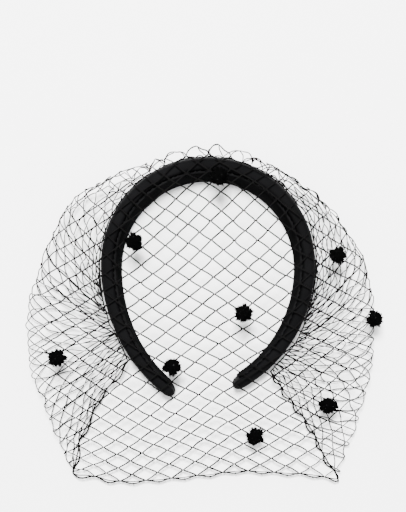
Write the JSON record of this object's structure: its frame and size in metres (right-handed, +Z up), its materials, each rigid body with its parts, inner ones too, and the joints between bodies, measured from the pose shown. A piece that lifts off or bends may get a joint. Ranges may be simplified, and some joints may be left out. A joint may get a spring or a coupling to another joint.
{
  "type": "veil headband",
  "caption": "Padded black satin headband with a gathered diamond-net veil and fuzzy chenille dots, lying flat on its back edge.",
  "frame": {"origin": "centre of the whole object's footprint, on the surface that it lies on", "axes": "+Z up, from the band's back edge to its front edge and the veil; +Y from the band's tips towards its crown; +X across from the left arm to the right arm, as the veil's front is seen"},
  "size_m": [0.2401, 0.2259, 0.0474],
  "materials": {
    "band_satin": "black ribbed satin over padding, soft sheen",
    "lining_satin": "black satin ribbon",
    "veil_thread": "black knotted net thread",
    "chenille": "deep black fuzzy chenille"
  },
  "bodies": {
    "root": {"padded_band": "band_satin", "lining_ribbon": "lining_satin", "veil_net": "veil_thread", "dot_01": "chenille", "dot_02": "chenille", "dot_03": "chenille", "dot_04": "chenille", "dot_05": "chenille", "dot_06": "chenille", "dot_07": "chenille", "dot_08": "chenille", "dot_09": "chenille"}
  },
  "joints": []
}
